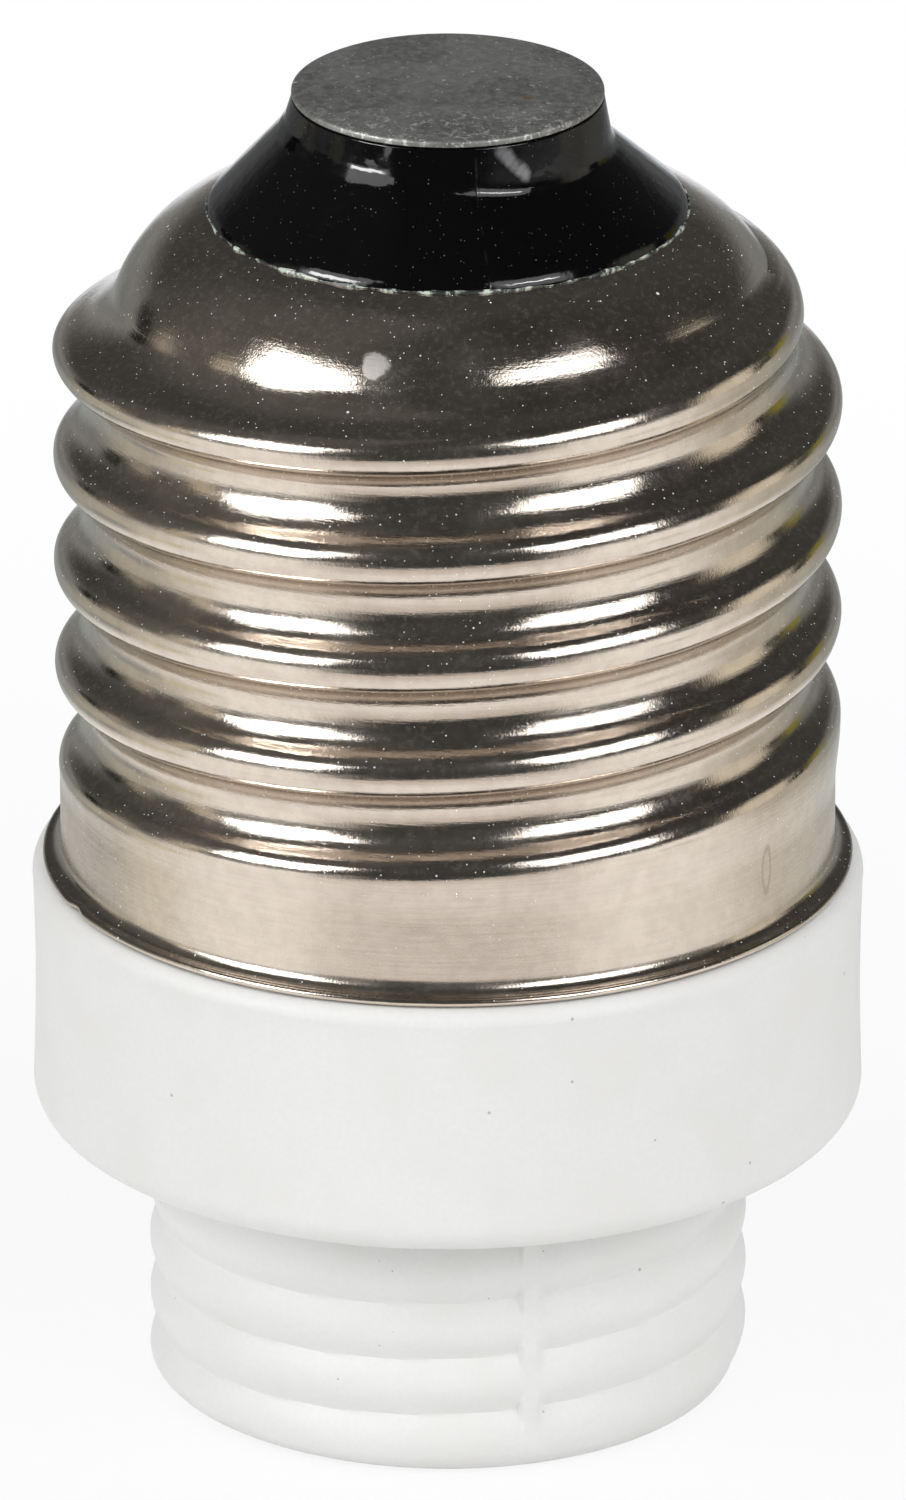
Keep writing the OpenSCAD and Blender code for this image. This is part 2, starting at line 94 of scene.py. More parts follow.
def soft_box(name, bearing, height, away, width, tall, power):
    """A rectangular lamp that faces the adapter. Bearing 0 is the camera's side."""
    distance = away * MM
    side, up = math.radians(bearing), math.radians(height)
    direction = Vector(
        (math.sin(side) * math.cos(up), -math.cos(side) * math.cos(up), math.sin(up))
    )
    data = bpy.data.lights.new(name, "AREA")
    data.shape = "RECTANGLE"
    data.size = width * MM
    data.size_y = tall * MM
    data.energy = power
    lamp = bpy.data.objects.new(name, data)
    lamp.location = view_target + direction * distance
    lamp.rotation_mode = "QUATERNION"
    lamp.rotation_quaternion = (-direction).to_track_quat("-Z", "Y")
    lamp.visible_camera = False
    bpy.context.scene.collection.objects.link(lamp)
    return lamp


soft_box("soft_box_left", -57, 30, 600, 350, 320, 1.25)
soft_box("soft_box_right", 44, 35, 600, 350, 330, 1.2)
# The bulb in the middle of each, which shows as a glint and adds no other light
soft_box("bulb_left", -58, 27, 570, 230, 100, 2.1).visible_diffuse = False
soft_box("bulb_right", 44, 34, 570, 230, 28, 0.8).visible_diffuse = False


def maths(tree, operation, a, b=0.0, c=0.0):
    """One sum of a node tree: each of a, b and c is a number or another node's output."""
    node = tree.nodes.new("ShaderNodeMath")
    node.operation = operation
    for socket, value in zip(node.inputs, (a, b, c)):
        if isinstance(value, (int, float)):
            socket.default_value = value
        else:
            tree.links.new(value, socket)
    return node.outputs[0]


def between(tree, value, low, high, low_result=0.0, high_result=1.0):
    """The value's rise from low to high, turned into a smooth rise between two results."""
    node = tree.nodes.new("ShaderNodeMapRange")
    node.interpolation_type = "SMOOTHSTEP"
    node.inputs["From Min"].default_value = low
    node.inputs["From Max"].default_value = high
    node.inputs["To Min"].default_value = low_result
    node.inputs["To Max"].default_value = high_result
    tree.links.new(value, node.inputs["Value"])
    return node.outputs["Result"]


def mixed(tree, share, first, second):
    """A colour between two, by a share. Each is a colour or another node's output."""
    node = tree.nodes.new("ShaderNodeMix")
    node.data_type = "RGBA"
    tree.links.new(share, node.inputs["Factor"])
    for socket, value in ((node.inputs["A"], first), (node.inputs["B"], second)):
        if isinstance(value, tuple):
            socket.default_value = value
        else:
            tree.links.new(value, socket)
    return node.outputs["Result"]


def frontness(tree, vector):
    """How far a place or direction lies to the front: 1 in front, 0 at the sides, -1 behind.
    How far it lies to the right, its distance from the axis and its height come with it."""
    split = tree.nodes.new("ShaderNodeSeparateXYZ")
    tree.links.new(vector, split.inputs[0])
    x, y, z = split.outputs
    across = maths(tree, "MULTIPLY", x, x)
    reach = maths(tree, "SQRT", maths(tree, "MULTIPLY_ADD", y, y, across))
    some = maths(tree, "MAXIMUM", reach, 1e-6)
    front = maths(tree, "DIVIDE", maths(tree, "MULTIPLY", y, -1.0), some)
    return front, maths(tree, "DIVIDE", x, some), reach, z


def towards(tree, vector, bearing, height, size, edge, squeeze=1.0):
    """1 near a bearing and height in degrees, within a size in degrees and its soft edge.
    A squeeze below 1 makes the patch taller."""
    side, up = math.radians(bearing), math.radians(height)
    flat = tree.nodes.new("ShaderNodeVectorMath")
    flat.operation = "MULTIPLY"
    flat.inputs[1].default_value = (1, 1, squeeze)
    tree.links.new(vector, flat.inputs[0])
    gap = tree.nodes.new("ShaderNodeVectorMath")
    gap.operation = "DISTANCE"
    gap.inputs[1].default_value = (
        math.sin(side) * math.cos(up), -math.cos(side) * math.cos(up), math.sin(up) * squeeze
    )
    tree.links.new(flat.outputs[0], gap.inputs[0])
    inner, outer = math.radians(size), math.radians(size + edge)
    return between(tree, gap.outputs["Value"], inner, outer, 1.0, 0.0)


def noise(tree, place, scale, detail=2.0, roughness=0.5, distortion=0.0):
    node = tree.nodes.new("ShaderNodeTexNoise")
    node.inputs["Scale"].default_value = scale
    node.inputs["Detail"].default_value = detail
    node.inputs["Roughness"].default_value = roughness
    node.inputs["Distortion"].default_value = distortion
    tree.links.new(place, node.inputs["Vector"])
    return node.outputs["Fac"]


def near(tree, place, centre, radius, edge, wobble=0.0):
    """1 within the radius of a point, falling to 0 over the edge's width."""
    gap = tree.nodes.new("ShaderNodeVectorMath")
    gap.operation = "DISTANCE"
    gap.inputs[1].default_value = centre
    tree.links.new(place, gap.inputs[0])
    length = gap.outputs["Value"]
    if wobble:
        rough = noise(tree, place, 2.2, 3.0)
        length = maths(tree, "MULTIPLY_ADD", maths(tree, "SUBTRACT", rough, 0.5), wobble, length)
    return between(tree, length, radius, radius + edge, 1.0, 0.0)


world = bpy.data.worlds.new("room")
world.use_nodes = True
bpy.context.scene.world = world
tree = world.node_tree
tree.nodes.clear()
direction = tree.nodes.new("ShaderNodeTexCoord")
front, right, _, rise = frontness(tree, direction.outputs["Generated"])
low = between(tree, rise, 0.0, 0.2, 1.0, 0.0)
sides = maths(
    tree, "MULTIPLY", between(tree, front, -0.6, 0.1), between(tree, front, 0.8, 0.95, 1.0, 0.0)
)
behind = between(tree, front, -0.8, -0.2, 0.3, 0.0)
glow = maths(tree, "MULTIPLY", low, maths(tree, "MAXIMUM", sides, behind))
sky = mixed(tree, between(tree, right, 0.4, 0.9), room_front, room_right)
sky = mixed(tree, between(tree, right, -0.9, -0.4, 1.0, 0.0), sky, room_left)
back = mixed(tree, between(tree, rise, 0.12, 0.3), room_back, room_high_back)
sky = mixed(tree, between(tree, front, -0.95, -0.3, 1.0, 0.0), sky, back)
sky = mixed(tree, glow, sky, horizon_colour)
# Things that stand about in the room, each mirrored as a small patch
for bearing, height, size, edge, squeeze, colour in (
    (-84, 12, 3, 5, 0.3, (0.6, 0.54, 0.42, 1)),
    (-112, 6, 2, 6, 0.6, (0.42, 0.38, 0.32, 1)),
    (-128, 5, 4, 5, 1.0, (0.015, 0.015, 0.015, 1)),
    (100, 8, 9, 10, 0.7, (0.85, 0.79, 0.65, 1)),
    (117, 4, 3, 5, 0.7, (0.03, 0.03, 0.03, 1)),
    (129, 2, 3, 5, 0.7, (0.27, 0.25, 0.03, 1)),
):
    seen_patch = towards(tree, direction.outputs["Generated"], bearing, height, size, edge, squeeze)
    sky = mixed(tree, seen_patch, sky, colour)
mirrored = tree.nodes.new("ShaderNodeBackground")
tree.links.new(sky, mirrored.inputs["Color"])
ambient = tree.nodes.new("ShaderNodeBackground")
ambient.inputs["Color"].default_value = ambient_colour
ambient.inputs["Strength"].default_value = ambient_level
backdrop = tree.nodes.new("ShaderNodeBackground")
backdrop.inputs["Color"].default_value = white
rays = tree.nodes.new("ShaderNodeLightPath")
mix_mirrored = tree.nodes.new("ShaderNodeMixShader")
tree.links.new(rays.outputs["Is Glossy Ray"], mix_mirrored.inputs[0])
tree.links.new(ambient.outputs[0], mix_mirrored.inputs[1])
tree.links.new(mirrored.outputs[0], mix_mirrored.inputs[2])
seen = maths(tree, "MAXIMUM", rays.outputs["Is Camera Ray"], rays.outputs["Is Transmission Ray"])
mix_backdrop = tree.nodes.new("ShaderNodeMixShader")
tree.links.new(seen, mix_backdrop.inputs[0])
tree.links.new(mix_mirrored.outputs[0], mix_backdrop.inputs[1])
tree.links.new(backdrop.outputs[0], mix_backdrop.inputs[2])
world_output = tree.nodes.new("ShaderNodeOutputWorld")
tree.links.new(mix_backdrop.outputs[0], world_output.inputs[0])

floor_mesh = bpy.data.meshes.new("table_top")
disc = bmesh.new()
bmesh.ops.create_circle(disc, cap_ends=True, segments=96, radius=1.6)
disc.to_mesh(floor_mesh)
disc.free()
floor = bpy.data.objects.new("table_top", floor_mesh)
bpy.context.scene.collection.objects.link(floor)

paper = bpy.data.materials.new("white_table")
paper.use_nodes = True
tree = paper.node_tree
tree.nodes.clear()
place = tree.nodes.new("ShaderNodeTexCoord")
front, _, reach, _ = frontness(tree, place.outputs["Object"])
matt = tree.nodes.new("ShaderNodeBsdfDiffuse")
matt.inputs["Color"].default_value = (0.93, 0.93, 0.93, 1)
glow = tree.nodes.new("ShaderNodeEmission")
glow.inputs["Color"].default_value = white
rays = tree.nodes.new("ShaderNodeLightPath")
blend = tree.nodes.new("ShaderNodeMixShader")
lit = between(tree, reach, 0.02, 0.11, 0.84, 1.0)
tree.links.new(maths(tree, "MULTIPLY", rays.outputs["Is Camera Ray"], lit), blend.inputs[0])
tree.links.new(matt.outputs[0], blend.inputs[1])
tree.links.new(glow.outputs[0], blend.inputs[2])
# What the metal mirrors of the table: brightest close by and straight behind the adapter,
# darker to the back left and right, and dim far out in front
tint = mixed(tree, between(tree, front, 0.7, 0.93), table_side, table_front)
tint = mixed(tree, between(tree, front, -0.3, 0.5, 1.0, 0.0), tint, table_left_right)
back = mixed(tree, between(tree, reach, 0.1, 0.25), table_back, table_far_back)
tint = mixed(tree, between(tree, front, -0.85, -0.35, 1.0, 0.0), tint, back)
# Shades on it that show in the skirt, two on the left and one on the right
for x, y, radius, colour in (
    (-67, -3, 9, (0.78, 0.75, 0.55, 1)),
    (-60, 27, 12, table_back),
    (64, -29, 5, (0.86, 0.83, 0.78, 1)),
):
    spot = near(tree, place.outputs["Object"], (x * MM, y * MM, 0), radius * MM, 10 * MM)
    tint = mixed(tree, spot, tint, colour)
tint = mixed(tree, between(tree, front, -0.995, -0.965, 1.0, 0.0), tint, table_beyond)
tint = mixed(tree, between(tree, reach, 0.026, 0.07, 1.0, 0.0), tint, table_close)
far = maths(tree, "MULTIPLY", between(tree, front, 0.72, 0.95), between(tree, reach, 0.07, 0.2))
reflected = tree.nodes.new("ShaderNodeEmission")
tree.links.new(mixed(tree, far, tint, room_front), reflected.inputs["Color"])
split_rays = tree.nodes.new("ShaderNodeMixShader")
tree.links.new(rays.outputs["Is Glossy Ray"], split_rays.inputs[0])
tree.links.new(blend.outputs[0], split_rays.inputs[1])
tree.links.new(reflected.outputs[0], split_rays.inputs[2])
paper_output = tree.nodes.new("ShaderNodeOutputMaterial")
tree.links.new(split_rays.outputs[0], paper_output.inputs[0])
floor_mesh.materials.append(paper)


# Screw shell
# Thin brass sheet, drawn into a cup with a domed end, rolled with a round right-hand
# thread and nickel-plated. Its out-turned lip stands on the body's collar.
shell_low, shell_high = (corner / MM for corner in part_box("screw_shell"))
lip_z = shell_low.z
lip_r = shell_high.x
pitch = 3.629
crest_r = 13.05
groove_depth = 1.1
skirt_r = 12.9
sheet_t = 0.3
wall_r = 11.35
dome_r = 5
hole_r = 6.9
first_crest = lip_z + 5.1
crest_turns = 4
dome_c = wall_r - dome_r
dome_z = first_crest + (crest_turns - 0.4) * pitch
round_r = ((pitch / 2) ** 2 + groove_depth**2) / (4 * groove_depth)
flank_sin = pitch / 4 / round_r
band_low = first_crest - 2.4
band_high = first_crest + (crest_turns + 0.35) * pitch


def ease(t):
    """Rise from 0 to 1 with level ends."""
    t = np.clip(t, 0, 1)
    return t * t * (3 - 2 * t)


def ripple(bearing, height, seed, waves=14, turns=9, pitch_mm=4.0):
    """Small smooth unevenness over a round wall, about -1 to 1. Bearing is in degrees."""
    draw = np.random.default_rng(seed)
    total = 0
    for _ in range(waves):
        around = int(draw.integers(-turns, turns + 1))
        along = draw.uniform(-1, 1) * 360 / pitch_mm
        shift = draw.uniform(0, 360)
        total = total + np.cos(np.radians(around * bearing + along * height + shift))
    return total / math.sqrt(waves) * 0.7


def round_wave(turn, t):
    """1 on a crest and 0 in a groove, both of them arcs, and on the outside the crest's is
    the tighter one. A drop t gives a sheet's inside."""
    x = np.abs(turn - np.round(turn)) * pitch
    tighter = 0.2 * round_r if t == 0 else 0
    crest_arc = round_r - tighter
    groove_arc = round_r + tighter
    crest = groove_depth - crest_arc + np.sqrt(np.maximum(0, (crest_arc - t) ** 2 - x**2))
    groove = groove_arc - np.sqrt(np.maximum(0, (groove_arc + t) ** 2 - (pitch / 2 - x) ** 2))
    return (np.where(x < (crest_arc - t) * flank_sin, crest, groove) + t) / groove_depth


def shell_radius(bearing, height, t=0):
    """Radius of the shell: rolled thread between the skirt and the dome, whose upper turns
    climb a little above the even pitch. A drop t gives the inside of a sheet so thick."""
    climb = 0.22 * ease(((height - first_crest) / pitch - 0.8) / 2.4)
    turn = (height - climb - first_crest) / pitch - bearing / 360
    crest_left = 1 - ease((np.round(turn) + bearing / 360 - crest_turns + 0.5) / 0.8)
    groove_in = ease((np.ceil(turn) + bearing / 360) / 0.45)
    wave = crest_left * round_wave(turn, t)
    share = 1 - groove_in * (1 - wave)
    crests = skirt_r + (crest_r - skirt_r) * ease((height - first_crest + 2.4) / 2.2)
    on_dome = np.sqrt(np.maximum(0, dome_r**2 - (height - dome_z) ** 2))
    dome = np.where(height <= dome_z, wall_r, dome_c + on_dome)
    rise = 1 - ease((height - first_crest) / pitch - 2.85)
    roots = dome + (crest_r - groove_depth - wall_r) * rise
    return roots + (crests - roots) * share - t


def ring_skin(name, bearings, radii, heights):
    """A closed skin from sections round the axis: radii and heights have one row a bearing."""
    columns, rows = radii.shape
    angle = np.radians(bearings)[:, None]
    points = np.stack([radii * np.cos(angle), radii * np.sin(angle), heights], -1) * MM
    here = np.arange(columns * rows).reshape(columns, rows)
    beside = np.roll(here, -1, 0)
    quads = np.stack(
        [here, np.roll(here, -1, 1), np.roll(beside, -1, 1), beside], -1
    ).reshape(-1, 4)
    mesh = bpy.data.meshes.new(name)
    mesh.from_pydata(points.reshape(-1, 3).tolist(), [], quads.tolist())
    shape = bmesh.new()
    shape.from_mesh(mesh)
    bmesh.ops.remove_doubles(shape, verts=shape.verts, dist=0.0005 * MM)
    bmesh.ops.dissolve_degenerate(shape, edges=shape.edges, dist=0.0005 * MM)
    bmesh.ops.recalc_face_normals(shape, faces=shape.faces)
    shape.to_mesh(mesh)
    shape.free()
    mesh.shade_smooth()
    mesh.set_sharp_from_angle(angle=math.radians(35))
    piece = bpy.data.objects.new(name, mesh)
    bpy.context.scene.collection.objects.link(piece)
    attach(piece, "root")
    return piece


def arc(centre_r, centre_z, radius, start, end, count):
    """Radii and heights of an arc in a section, angles in degrees above the horizontal."""
    angle = np.radians(np.linspace(start, end, count))
    return centre_r + radius * np.cos(angle), centre_z + radius * np.sin(angle)


shell_columns = 400
bearings = np.arange(shell_columns) * 360 / shell_columns
around = bearings[:, None]
arc_start = math.degrees(math.asin((band_high - dome_z) / dome_r))
arc_end = math.degrees(math.acos((hole_r - dome_c) / dome_r))
lip_out_r, lip_out_z = arc(lip_r - 0.13, lip_z + 0.13, 0.13, -90, 90, 9)
flare = lip_r - 0.13 - skirt_r
flare_r, flare_z = arc(skirt_r + flare, lip_z + 0.26 + flare, flare, -92, -178, 12)
skirt_z = np.linspace(lip_z + 0.3 + flare, band_low, 10, endpoint=False)
thread_z = np.arange(band_low, band_high - 0.05, 0.105)
dome_out_r, dome_out_z = arc(dome_c, dome_z, dome_r, arc_start, arc_end, 16)
dome_in_r, dome_in_z = arc(dome_c, dome_z, dome_r - sheet_t, arc_end, arc_start, 8)
inner_z = np.arange(band_high - 0.5, band_low, -0.3)

fixed = np.ones((shell_columns, 1))
thread_r = shell_radius(around, thread_z[None, :])
skin_r = np.concatenate(
    [
        fixed * lip_out_r,
        fixed * flare_r,
        fixed * np.full_like(skirt_z, skirt_r),
        thread_r,
        fixed * dome_out_r,
        fixed * dome_in_r,
        shell_radius(around, inner_z[None, :], sheet_t),
        fixed * np.array([skirt_r - sheet_t, skirt_r - sheet_t + 0.05]),
        fixed * np.array([lip_r - sheet_t]),
    ],
    axis=1,
)
skin_z = fixed * np.concatenate(
    [
        lip_out_z,
        flare_z,
        skirt_z,
        thread_z,
        dome_out_z,
        dome_in_z,
        inner_z,
        [lip_z + 1.2, lip_z + 0.8],
        [lip_z + 0.02],
    ]
)
outside = len(lip_out_r) + len(flare_r) + len(skirt_z) + len(thread_z) + len(dome_out_r)
uneven = ripple(around, skin_z, 3) * 0.012 + ripple(around, skin_z, 8, 20, 30, 2.5) * 0.003
skin_r[:, :outside] += uneven[:, :outside]
# The lip has a dent at the front left
flange = len(lip_out_r) + 7
dent = np.exp(-(((around - 203.8) / 1.7) ** 2)) * np.linspace(1, 0, flange)
skin_r[:, :flange] -= 0.14 * dent
skin_z[:, :flange] += 0.07 * dent
shell = ring_skin("nickel_screw_shell", bearings, skin_r, skin_z)
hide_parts("screw_shell")


def new_finish(name):
    """A material with its shader and a vector that gives the place on the object in mm."""
    material = bpy.data.materials.new(name)
    material.use_nodes = True
    tree = material.node_tree
    shader = tree.nodes["Principled BSDF"]
    place = tree.nodes.new("ShaderNodeTexCoord")
    in_mm = tree.nodes.new("ShaderNodeVectorMath")
    in_mm.operation = "SCALE"
    in_mm.inputs["Scale"].default_value = 1 / MM
    tree.links.new(place.outputs["Object"], in_mm.inputs[0])
    return material, tree, shader, in_mm.outputs[0]


def specks(tree, place, per_mm, share, size):
    """1 on small round specks: a share of the cells has one, of up to the given size."""
    cells = tree.nodes.new("ShaderNodeTexVoronoi")
    cells.inputs["Scale"].default_value = per_mm
    tree.links.new(place, cells.inputs["Vector"])
    split = tree.nodes.new("ShaderNodeSeparateColor")
    tree.links.new(cells.outputs["Color"], split.inputs[0])
    chosen = maths(tree, "GREATER_THAN", split.outputs[0], 1 - share)
    radius = maths(tree, "MULTIPLY", split.outputs[1], size)
    inside = maths(tree, "LESS_THAN", cells.outputs["Distance"], radius)
    return maths(tree, "MULTIPLY", chosen, inside)


def bump(tree, shader, height, strength, distance):
    """Relief on a shader, distance in mm, added to any relief that it has."""
    node = tree.nodes.new("ShaderNodeBump")
    node.inputs["Strength"].default_value = strength
    node.inputs["Distance"].default_value = distance * MM
    tree.links.new(height, node.inputs["Height"])
    normal = shader.inputs["Normal"]
    if normal.is_linked:
        tree.links.new(normal.links[0].from_socket, node.inputs["Normal"])
    tree.links.new(node.outputs[0], normal)


def round_place(tree, place, along, up):
    """Place on a round wall as (distance round it, 0, height), each stretched by a factor."""
    split = tree.nodes.new("ShaderNodeSeparateXYZ")
    tree.links.new(place, split.inputs[0])
    turned = maths(tree, "MULTIPLY", split.outputs["Y"], -1.0)
    angle = maths(tree, "ARCTAN2", split.outputs["X"], turned)
    join = tree.nodes.new("ShaderNodeCombineXYZ")
    tree.links.new(maths(tree, "MULTIPLY", angle, along * 12.5), join.inputs["X"])
    tree.links.new(maths(tree, "MULTIPLY", split.outputs["Z"], up), join.inputs["Z"])
    return join.outputs[0], split.outputs["Z"]


nickel, tree, shader, place = new_finish("nickel_plate")
drawn, height = round_place(tree, place, 0.35, 7.0)
lines = noise(tree, drawn, 1.0, 4.0, 0.6)
cloud = noise(tree, place, 0.55, 3.0)
patchy = noise(tree, place, 1.7, 4.0, 0.6)
fine = noise(tree, place, 13.0, 2.0)
dust = specks(tree, place, 1.3, 0.35, 0.08)
grit = specks(tree, place, 3.4, 0.3, 0.12)
powder = specks(tree, place, 6.5, 0.3, 0.18)
film = noise(tree, place, 4.5, 5.0, 0.75)
film = maths(tree, "MULTIPLY", between(tree, film, 0.48, 0.72), 0.06)
all_dust = maths(tree, "MAXIMUM", dust, maths(tree, "MAXIMUM", grit, powder))
all_dust = maths(tree, "MAXIMUM", all_dust, film)
skirt = between(tree, height, band_low - 0.2, band_low + 0.6, 1.0, 0.0)
skirt = maths(tree, "MULTIPLY", skirt, between(tree, height, lip_z + 0.35, lip_z + 0.7))
tone = maths(tree, "MULTIPLY_ADD", lines, 0.4, maths(tree, "MULTIPLY", patchy, 0.6))
clean = mixed(
    tree, between(tree, tone, 0.35, 0.68), (0.66, 0.59, 0.52, 1), (0.58, 0.515, 0.45, 1)
)
blemish = near(tree, place, (-2.35, -10.02, 39.7), 0.36, 0.2, 0.45)
marked = mixed(tree, maths(tree, "MULTIPLY", blemish, 0.6), clean, (0.34, 0.34, 0.35, 1))
# A dried drop has left a tall thin ring on the skirt's front right
flat_place = tree.nodes.new("ShaderNodeVectorMath")
flat_place.operation = "MULTIPLY"
flat_place.inputs[1].default_value = (1, 1, 0.3)
tree.links.new(place, flat_place.inputs[0])
drop = near(tree, flat_place.outputs[0], (10.5, -7.49, 6.28), 0.24, 0.06)
inner_drop = near(tree, flat_place.outputs[0], (10.5, -7.49, 6.28), 0.15, 0.06)
ring = maths(tree, "MULTIPLY", maths(tree, "SUBTRACT", drop, inner_drop), 0.5)
marked = mixed(tree, ring, marked, (0.36, 0.3, 0.2, 1))
shader.inputs["Base Color"].default_value = (0.64, 0.57, 0.505, 1)
tree.links.new(
    mixed(tree, all_dust, marked, (0.75, 0.76, 0.76, 1)), shader.inputs["Base Color"]
)
shader.inputs["Metallic"].default_value = 1.0
cover = maths(tree, "MAXIMUM", all_dust, maths(tree, "MULTIPLY", blemish, 0.45))
metal = maths(tree, "SUBTRACT", 1.0, cover)
tree.links.new(metal, shader.inputs["Metallic"])
sheen = between(tree, cloud, 0.3, 0.7, 0.1, 0.17)
sheen = maths(tree, "MULTIPLY_ADD", skirt, 0.14, sheen)
sheen = maths(tree, "MULTIPLY_ADD", maths(tree, "SUBTRACT", fine, 0.5), 0.1, sheen)
sheen = maths(tree, "MAXIMUM", sheen, maths(tree, "MULTIPLY", all_dust, 0.7))
sheen = maths(tree, "MAXIMUM", sheen, maths(tree, "MULTIPLY", blemish, 0.45))
tree.links.new(sheen, shader.inputs["Roughness"])
bump(tree, shader, lines, 0.22, 0.03)
bump(tree, shader, patchy, 0.12, 0.05)
bump(tree, shader, fine, 0.5, 0.007)
bump(tree, shader, all_dust, 0.6, 0.02)
shell.data.materials.append(nickel)


# Cap insulator
# Black moulding pressed into the dome's opening: a cone that hides the dome's edge, with
# a short neck round the contact plate, a mould line down its front and flash at its rim.
insulator_low, insulator_high = (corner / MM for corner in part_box("cap_insulator"))
plate_low, plate_high = (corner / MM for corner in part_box("contact_plate"))
rim_r = 7.9
rim_z = dome_z + math.sqrt(dome_r**2 - (rim_r - dome_c) ** 2) + 0.05
top_z = insulator_high.z
neck_r = plate_high.x
plate_r = plate_high.x
stem_r = 1.6
foot_r = insulator_high.x


def lathe(name, outline, columns, wobble=0.0, seed=1):
    """A solid turned from a closed outline of (radius, height) points, a little uneven."""
    bearings = np.arange(columns) * 360 / columns
    radii = np.array([point[0] for point in outline])[None, :]
    heights = np.array([point[1] for point in outline])[None, :]
    fixed = np.ones((columns, 1))
    uneven = ripple(bearings[:, None], heights, seed, 12, 6, 5.0) * wobble
    radii = fixed * radii + uneven * (radii > 0.5)
    return ring_skin(name, bearings, radii, fixed * heights)


def rounded(points, fillets, steps=6):
    """Points of an outline with each corner rounded by its own radius, 0 for a sharp one."""
    result = []
    count = len(points)
    for i, (corner, fillet) in enumerate(zip(points, fillets)):
        corner = np.array(corner, float)
        if not fillet:
            result.append(tuple(corner))
            continue
        before = np.array(points[i - 1], float) - corner
        after = np.array(points[(i + 1) % count], float) - corner
        start = corner + before / np.linalg.norm(before) * fillet
        end = corner + after / np.linalg.norm(after) * fillet
        for t in np.linspace(0, 1, steps):
            curve = (1 - t) ** 2 * start + 2 * t * (1 - t) * corner + t**2 * end
            result.append(tuple(curve))
    return result


under = [
    (r, dome_z + math.sqrt(dome_r**2 - (r - dome_c) ** 2) + 0.05)
    for r in np.linspace(rim_r - 0.3, hole_r - 0.1, 5)
]
inside = [
    (r, dome_z + math.sqrt((dome_r - sheet_t) ** 2 - (r - dome_c) ** 2) - 0.15)
    for r in np.linspace(hole_r - 0.1, foot_r, 6)
]
insulator_outline = rounded(
    [
        (stem_r, top_z),
        (neck_r, top_z),
        (neck_r + 0.29, top_z - 1.3),
        (rim_r - 0.04, rim_z + 0.22),
        (rim_r + 0.04, rim_z),
    ]
    + under
    + inside
    + [(foot_r, insulator_low.z), (stem_r, insulator_low.z)],
    [0, 0.05, 0.36, 0.2, 0.03] + [0] * (len(under) + len(inside) + 2),
)
insulator = lathe("black_cap_insulator", insulator_outline, 256, 0.012, 5)
# The neck's foot runs higher on the left than on the right
for vertex in insulator.data.vertices:
    share = max(0, 1 - abs(vertex.co.z / MM - top_z + 1.3))
    vertex.co.z -= 0.33 * MM * share * math.tanh(vertex.co.x / MM / 2)
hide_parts("cap_insulator")

black, tree, shader, place = new_finish("black_moulding")
cloud = noise(tree, place, 1.1, 3.0)
wave = noise(tree, place, 2.2, 1.5)
dust = maths(
    tree, "MAXIMUM", specks(tree, place, 3.2, 0.04, 0.1), specks(tree, place, 9.0, 0.3, 0.18)
)
# A slanted scuff runs down its neck, strongest at the lower end
scuff = 0.0
for step in range(6):
    middle = (1.85 + 0.16 * step, -5.1 + 0.03 * step, 45.25 - 0.17 * step)
    spot = near(tree, place, middle, 0.24, 0.18, 0.2)
    spot = maths(tree, "MULTIPLY", spot, 0.6 + 0.08 * step)
    scuff = maths(tree, "MAXIMUM", spot, scuff)
across = tree.nodes.new("ShaderNodeVectorMath")
across.operation = "DOT_PRODUCT"
across.inputs[1].default_value = (math.sin(math.radians(80)), math.cos(math.radians(80)), 0)
tree.links.new(place, across.inputs[0])
seam = maths(tree, "ABSOLUTE", across.outputs["Value"])
seam = between(tree, seam, 0.01, 0.05, 1.0, 0.0)
seam = maths(tree, "MULTIPLY", seam, between(tree, cloud, 0.45, 0.6))
shader.inputs["Base Color"].default_value = (0.002, 0.002, 0.0023, 1)
surface = mixed(
    tree, maths(tree, "MULTIPLY", scuff, 0.5), (0.002, 0.002, 0.0023, 1), (0.42, 0.42, 0.44, 1)
)
surface = mixed(tree, maths(tree, "MULTIPLY", seam, 0.05), surface, (0.16, 0.16, 0.17, 1))
tree.links.new(
    mixed(tree, maths(tree, "MULTIPLY", dust, 0.3), surface, (0.5, 0.5, 0.48, 1)),
    shader.inputs["Base Color"],
)
gloss = between(tree, cloud, 0.3, 0.75, 0.05, 0.13)
gloss = maths(tree, "MAXIMUM", gloss, maths(tree, "MULTIPLY", scuff, 0.5))
tree.links.new(maths(tree, "MAXIMUM", gloss, dust), shader.inputs["Roughness"])
shader.inputs["Specular IOR Level"].default_value = 0.32
bump(tree, shader, wave, 0.22, 0.06)
bump(tree, shader, seam, 0.3, 0.012)
bump(tree, shader, dust, 0.4, 0.02)
insulator.data.materials.append(black)

# Flash squeezed out under the insulator's rim when it was pressed in: a thin ragged bead
# of pale green-white, broken in places.
bead_columns = 480
bearings = np.arange(bead_columns) * 360 / bead_columns
sides = np.radians(np.linspace(0, 360, 8, endpoint=False))[None, :]
ragged = ripple(bearings, bearings * 0, 21, 30, 90)
thick = np.clip(0.055 + 0.05 * ripple(bearings, bearings * 0, 22, 24, 40), 0.012, 0.13)
bead_r = rim_r + 0.03 + 0.035 * ragged
bead_z = dome_z + np.sqrt(dome_r**2 - (bead_r - dome_c) ** 2) + 0.03
flash = ring_skin(
    "insulator_flash",
    bearings,
    bead_r[:, None] + thick[:, None] * np.cos(sides),
    bead_z[:, None] + thick[:, None] * np.sin(sides),
)
pale, tree, shader, place = new_finish("pale_flash")
patches = noise(tree, place, 2.4, 4.0, 0.7)
